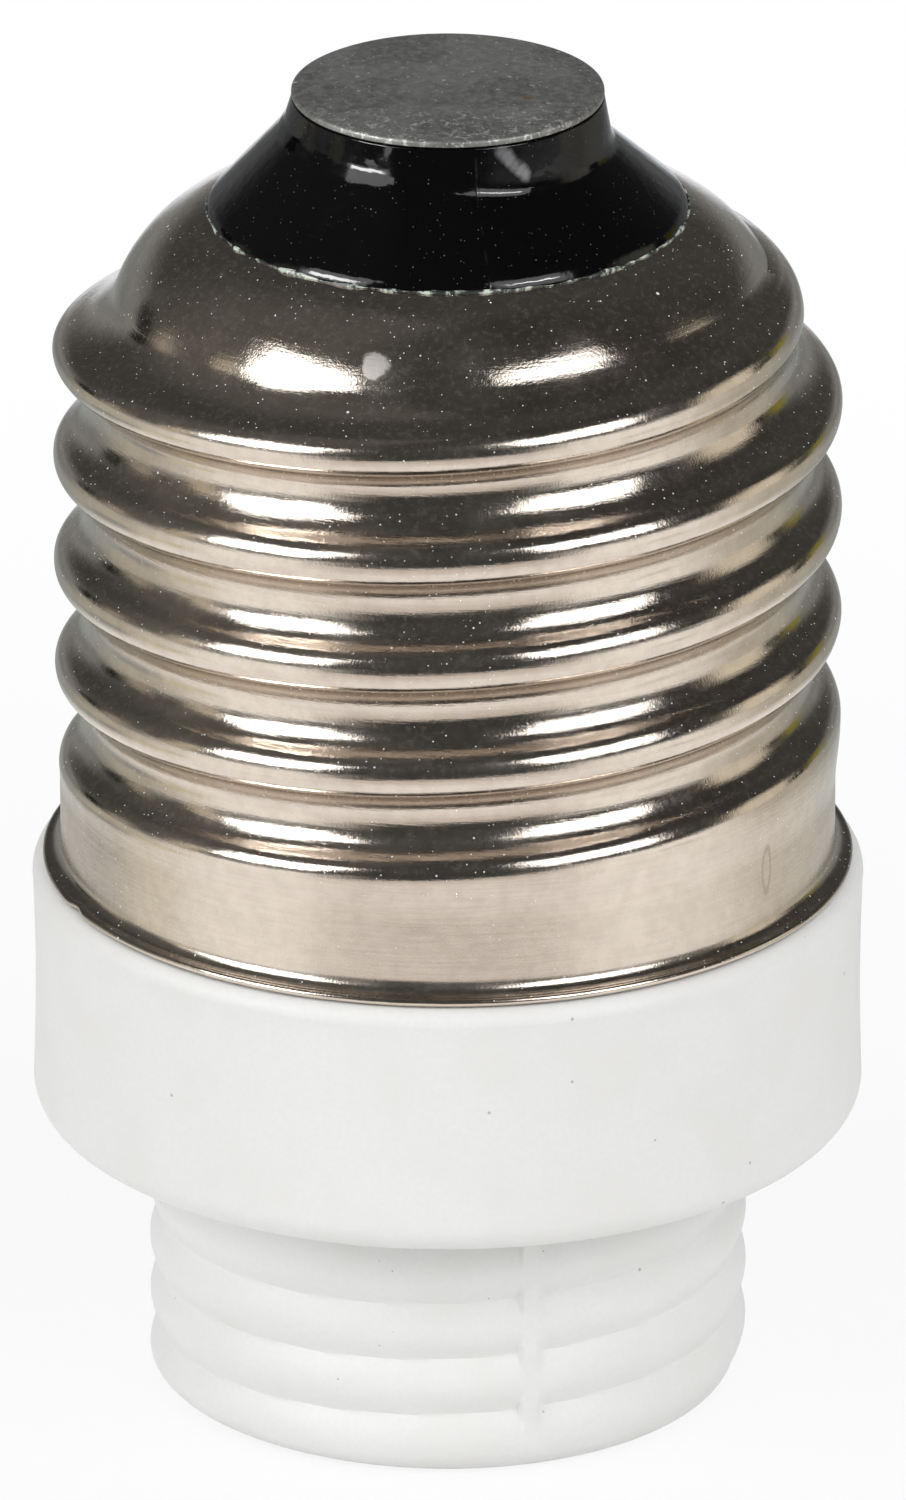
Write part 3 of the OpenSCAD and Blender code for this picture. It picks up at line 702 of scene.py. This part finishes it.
tint = mixed(
    tree, between(tree, patches, 0.46, 0.6), (0.02, 0.024, 0.022, 1), (0.6, 0.68, 0.6, 1)
)
shader.inputs["Base Color"].default_value = (0.5, 0.58, 0.5, 1)
tree.links.new(tint, shader.inputs["Base Color"])
shader.inputs["Roughness"].default_value = 0.4
flash.data.materials.append(pale)


# Contact plate
# A pressed disc of tinned brass on a hollow stem that is spread under the insulator. Its
# dull face is specked and scratched by the holders it has been in.
face_z = plate_high.z
plate_outline = rounded(
    [
        (0, face_z),
        (plate_r - 0.9, face_z - 0.06),
        (plate_r, face_z - 0.1),
        (plate_r, top_z + 0.05),
        (1.5, top_z + 0.05),
        (1.5, insulator_low.z - 0.05),
        (2.1, insulator_low.z - 0.05),
        (2.1, insulator_low.z - 0.3),
        (1.5, plate_low.z),
        (0.8, plate_low.z),
        (0.8, top_z - 0.5),
        (0, top_z - 0.5),
    ],
    [0, 0.3, 0.14, 0.05, 0, 0, 0, 0.1, 0, 0, 0, 0],
)
plate = lathe("contact_plate_disc", plate_outline, 192, 0.01, 9)
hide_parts("contact_plate")

tinned, tree, shader, place = new_finish("tinned_contact")
mottle = noise(tree, place, 3.2, 6.0, 0.75)
smear = noise(tree, place, 0.3, 2.0)
scratch = noise(tree, place, 3.0, 6.0, 0.7, 1.2)
dust = maths(
    tree, "MAXIMUM", specks(tree, place, 2.4, 0.4, 0.2), specks(tree, place, 5.5, 0.55, 0.24)
)
# Pale scratch marks, many more of them towards the front edge
split = tree.nodes.new("ShaderNodeSeparateXYZ")
tree.links.new(place, split.inputs[0])
to_front = between(tree, split.outputs["Y"], -3.9, -1.4, 1.0, 0.0)
pale_marks = between(tree, scratch, 0.53, 0.62)
pale_marks = maths(tree, "MULTIPLY", pale_marks, maths(tree, "MULTIPLY_ADD", to_front, 0.7, 0.08))
speck = maths(tree, "MULTIPLY", near(tree, place, (2.6, -1.2, 45.7), 0.05, 0.25, 0.5), 0.5)
grey = mixed(
    tree, between(tree, mottle, 0.3, 0.7), (0.15, 0.15, 0.143, 1), (0.25, 0.25, 0.24, 1)
)
grey = mixed(tree, between(tree, smear, 0.42, 0.6, 0.0, 0.5), grey, (0.3, 0.3, 0.29, 1))
grey = mixed(tree, pale_marks, grey, (0.65, 0.65, 0.64, 1))
grey = mixed(tree, speck, grey, (0.22, 0.13, 0.03, 1))
shader.inputs["Base Color"].default_value = (0.3, 0.3, 0.29, 1)
tree.links.new(
    mixed(tree, maths(tree, "MULTIPLY", dust, 0.7), grey, (0.6, 0.6, 0.58, 1)),
    shader.inputs["Base Color"],
)
shader.inputs["Metallic"].default_value = 0.55
dull = between(tree, mottle, 0.3, 0.7, 0.38, 0.6)
tree.links.new(dull, shader.inputs["Roughness"])
bump(tree, shader, mottle, 0.35, 0.03)
bump(tree, shader, scratch, 0.3, 0.015)
plate.data.materials.append(tinned)


# Adapter body
# One white moulding: threaded neck, wide collar and the spigot that the shell stands
# round. The mould's two halves meet along narrow lands that break the neck's thread.
body_low, body_high = (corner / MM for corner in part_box("adapter_body"))
insert_low, insert_high = (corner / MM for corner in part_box("socket_insert"))
cover_low, cover_high = (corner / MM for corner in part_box("contact_cover"))
collar_r = body_high.x
collar_top = lip_z - 0.05
spigot_top = body_high.z
collar_low = 9.7
waist = 0.08
spigot_r = crest_r - groove_depth - sheet_t - 0.2
bore_r = cover_high.x + 0.2
neck_crest = 10
neck_pitch = 2
neck_phase = 3.75
neck_depth = 0.34
neck_end = 0.75
land_bearing = 285.8
land_half = math.degrees(0.18 / neck_crest)
land_ramp = 0.75


def neck_radius(bearing, height):
    """Radius of the neck: rounded crests that grow out of its rounded end, sharp grooves
    and two plain lands, steep on one side, which fade out above the end."""
    turn = (height - neck_phase) / neck_pitch - bearing / 360
    crest_z = neck_phase + neck_pitch * (np.round(turn) + bearing / 360)
    crest = ease((crest_z + 0.1) / 0.6) * np.abs(np.cos(np.pi * turn))
    from_land = (bearing - land_bearing + 90) % 180 - 90
    slope = np.where(from_land < 0, land_ramp, 3 * land_ramp)
    off_land = ease((np.abs(from_land) - land_half) / slope)
    off_land = np.maximum(off_land, 1 - ease((height - 0.4) / 1.2))
    edge = neck_end - np.sqrt(neck_end**2 - np.maximum(0, neck_end - height) ** 2)
    return neck_crest - edge - neck_depth * off_land * (1 - crest)


def flat_sided(bearing, radius, half_width):
    """Radius of a round hole with two flats, across Y."""
    return np.minimum(radius, half_width / np.maximum(1e-6, np.abs(np.sin(np.radians(bearing)))))


ramp_end = land_half + land_ramp
ramp = land_half + land_ramp * np.array([0, 0.25, 0.5, 0.75])
even = np.linspace(ramp_end, 180 - ramp_end, 186)
half_turn = np.concatenate([-ramp[::-1], ramp, even])
bearings = (np.concatenate([half_turn, half_turn + 180]) + land_bearing) % 360
bearings = np.sort(bearings)
around = bearings[:, None]
fixed = np.ones((len(bearings), 1))
end_z = neck_end * (1 - np.cos(np.radians(np.linspace(0, 80, 8))))
neck_z = np.concatenate([end_z, np.arange(neck_end, collar_low - 0.12, 0.09)])
root_r, root_z = arc(neck_crest + 0.12, collar_low - 0.12, 0.12, 180, 90, 4)
low_r, low_z = arc(collar_r - 1, collar_low + 1, 1, -90, -4, 14)
side_z = np.linspace(low_z[-1] + 0.3, collar_top - 0.6, 12)
side_r = collar_r - waist * np.cos(np.linspace(-1.4, 1.4, 12))
edge_r, edge_z = arc(collar_r - 0.55, collar_top - 0.55, 0.55, 0, 90, 10)
spigot_rz = [(spigot_r, collar_top), (spigot_r, spigot_top - 0.4), (spigot_r - 0.4, spigot_top)]
window_r = insert_high.x + 0.1 - 0.65
flats = insert_high.y
body_r = np.concatenate(
    [
        neck_radius(around, neck_z[None, :]),
        fixed * root_r,
        fixed * low_r,
        fixed * side_r,
        fixed * edge_r,
        fixed * np.array([r for r, _ in spigot_rz]),
        fixed * np.array([bore_r, bore_r]),
        flat_sided(around, insert_high.x + 0.1, flats + 0.1) * np.ones((1, 2)),
        flat_sided(around, window_r, flats - 0.7) * np.ones((1, 2)),
    ],
    axis=1,
)
body_z = fixed * np.concatenate(
    [
        neck_z,
        root_z,
        low_z,
        side_z,
        edge_z,
        [z for _, z in spigot_rz],
        [spigot_top, insert_high.z],
        [insert_high.z, insert_low.z - 0.05],
        [insert_low.z - 0.05, 0.0],
    ]
)
moulded = len(neck_z) + 4 + len(low_r) + len(side_r) + len(edge_r)
uneven = ripple(around, body_z, 31, 14, 7, 6.0) * 0.012
body_r[:, len(end_z) : moulded] += uneven[:, len(end_z) : moulded]
body = ring_skin("white_adapter_body", bearings, body_r, body_z)
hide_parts("adapter_body")

white_plastic, tree, shader, place = new_finish("white_moulding")
cloud = noise(tree, place, 0.35, 3.0)
grain = noise(tree, place, 14.0, 3.0)
ripples = noise(tree, place, 1.3, 2.0)
mottled = noise(tree, place, 6.0, 3.0, 0.7)
dark = maths(
    tree, "MAXIMUM", specks(tree, place, 2.2, 0.06, 0.14), specks(tree, place, 1.1, 0.03, 0.1)
)
shade = mixed(
    tree, between(tree, cloud, 0.4, 0.7), (0.82, 0.825, 0.825, 1), (0.8, 0.8, 0.79, 1)
)
shade = mixed(tree, between(tree, mottled, 0.35, 0.65, 0.0, 0.5), shade, (0.78, 0.78, 0.765, 1))
shader.inputs["Base Color"].default_value = (0.85, 0.855, 0.845, 1)
tree.links.new(
    mixed(tree, maths(tree, "MULTIPLY", dark, 0.6), shade, (0.3, 0.28, 0.25, 1)),
    shader.inputs["Base Color"],
)
shader.inputs["Specular IOR Level"].default_value = 0.35
tree.links.new(between(tree, grain, 0.3, 0.7, 0.48, 0.62), shader.inputs["Roughness"])
bump(tree, shader, grain, 0.15, 0.015)
bump(tree, shader, ripples, 0.15, 0.05)
body.data.materials.append(white_plastic)


# Socket insert and its cover
# Two pieces of unglazed ceramic: a block with the recess for the lamp's base and a pocket
# behind each pin slot, and a disc that closes the pockets. The insert rests on the neck's
# end wall.
ceramic, tree, shader, place = new_finish("unglazed_ceramic")
cloud = noise(tree, place, 0.8, 4.0)
grain = noise(tree, place, 18.0, 4.0, 0.65)
dark = specks(tree, place, 3.0, 0.1, 0.16)
shade = mixed(
    tree, between(tree, cloud, 0.35, 0.7), (0.8, 0.78, 0.72, 1), (0.72, 0.69, 0.62, 1)
)
shader.inputs["Base Color"].default_value = (0.78, 0.76, 0.7, 1)
tree.links.new(
    mixed(tree, maths(tree, "MULTIPLY", dark, 0.5), shade, (0.35, 0.3, 0.25, 1)),
    shader.inputs["Base Color"],
)
tree.links.new(between(tree, grain, 0.3, 0.7, 0.6, 0.85), shader.inputs["Roughness"])
bump(tree, shader, grain, 0.35, 0.03)


def dress(node, material):
    """Gives a CAD piece, whose shape is right as it is, its finish."""
    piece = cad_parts[node]
    piece.data.materials.clear()
    piece.data.materials.append(material)


dress("socket_insert", ceramic)
dress("contact_cover", ceramic)


# Spring contacts
# Nickel-plated bronze strip, bent to two leaves that grip the lamp's pin, with a tail
# through the cover and a crimp round the lead.
spring_metal, tree, shader, place = new_finish("spring_strip")
drawn = noise(tree, place, 2.0, 3.0)
fine = noise(tree, place, 12.0, 3.0)
shader.inputs["Base Color"].default_value = (0.66, 0.6, 0.5, 1)
tree.links.new(
    mixed(tree, between(tree, drawn, 0.35, 0.7), (0.68, 0.63, 0.54, 1), (0.55, 0.47, 0.35, 1)),
    shader.inputs["Base Color"],
)
shader.inputs["Metallic"].default_value = 1.0
tree.links.new(between(tree, fine, 0.3, 0.7, 0.22, 0.38), shader.inputs["Roughness"])
bump(tree, shader, fine, 0.2, 0.01)
dress("live_contact", spring_metal)
dress("neutral_contact", spring_metal)


# Cover screws
# Two zinc-plated self-tapping screws that clamp the cover and the insert in the body.
zinc, tree, shader, place = new_finish("zinc_plate")
cloud = noise(tree, place, 2.5, 3.0)
fine = noise(tree, place, 15.0, 3.0)
shader.inputs["Base Color"].default_value = (0.6, 0.61, 0.62, 1)
tree.links.new(
    mixed(tree, between(tree, cloud, 0.35, 0.7), (0.62, 0.63, 0.64, 1), (0.5, 0.5, 0.48, 1)),
    shader.inputs["Base Color"],
)
shader.inputs["Metallic"].default_value = 1.0
tree.links.new(between(tree, fine, 0.3, 0.7, 0.28, 0.42), shader.inputs["Roughness"])
bump(tree, shader, fine, 0.2, 0.01)
dress("cover_screw_front", zinc)
dress("cover_screw_back", zinc)


# Leads and solder
# Two short wires in silicone rubber, brown to the centre contact and blue to the shell,
# each crimped to its spring contact and soldered at the cap.
def rubber(name, colour, faded):
    """Silicone rubber insulation, a little chalky in patches."""
    material, tree, shader, place = new_finish(name)
    cloud = noise(tree, place, 1.2, 3.0)
    fine = noise(tree, place, 20.0, 2.0)
    shader.inputs["Base Color"].default_value = colour
    tree.links.new(
        mixed(tree, between(tree, cloud, 0.4, 0.75), colour, faded), shader.inputs["Base Color"]
    )
    tree.links.new(between(tree, fine, 0.3, 0.7, 0.5, 0.68), shader.inputs["Roughness"])
    bump(tree, shader, fine, 0.2, 0.01)
    return material


dress("live_lead", rubber("brown_silicone", (0.28, 0.1, 0.05, 1), (0.34, 0.15, 0.09, 1)))
dress("neutral_lead", rubber("blue_silicone", (0.05, 0.12, 0.36, 1), (0.1, 0.18, 0.4, 1)))

tin, tree, shader, place = new_finish("tin_solder")
cloud = noise(tree, place, 3.0, 4.0)
shader.inputs["Base Color"].default_value = (0.58, 0.59, 0.6, 1)
tree.links.new(
    mixed(tree, between(tree, cloud, 0.35, 0.7), (0.6, 0.61, 0.62, 1), (0.42, 0.42, 0.41, 1)),
    shader.inputs["Base Color"],
)
shader.inputs["Metallic"].default_value = 1.0
tree.links.new(between(tree, cloud, 0.3, 0.7, 0.25, 0.5), shader.inputs["Roughness"])
bump(tree, shader, cloud, 0.3, 0.03)
dress("tip_solder", tin)
dress("shell_solder", tin)
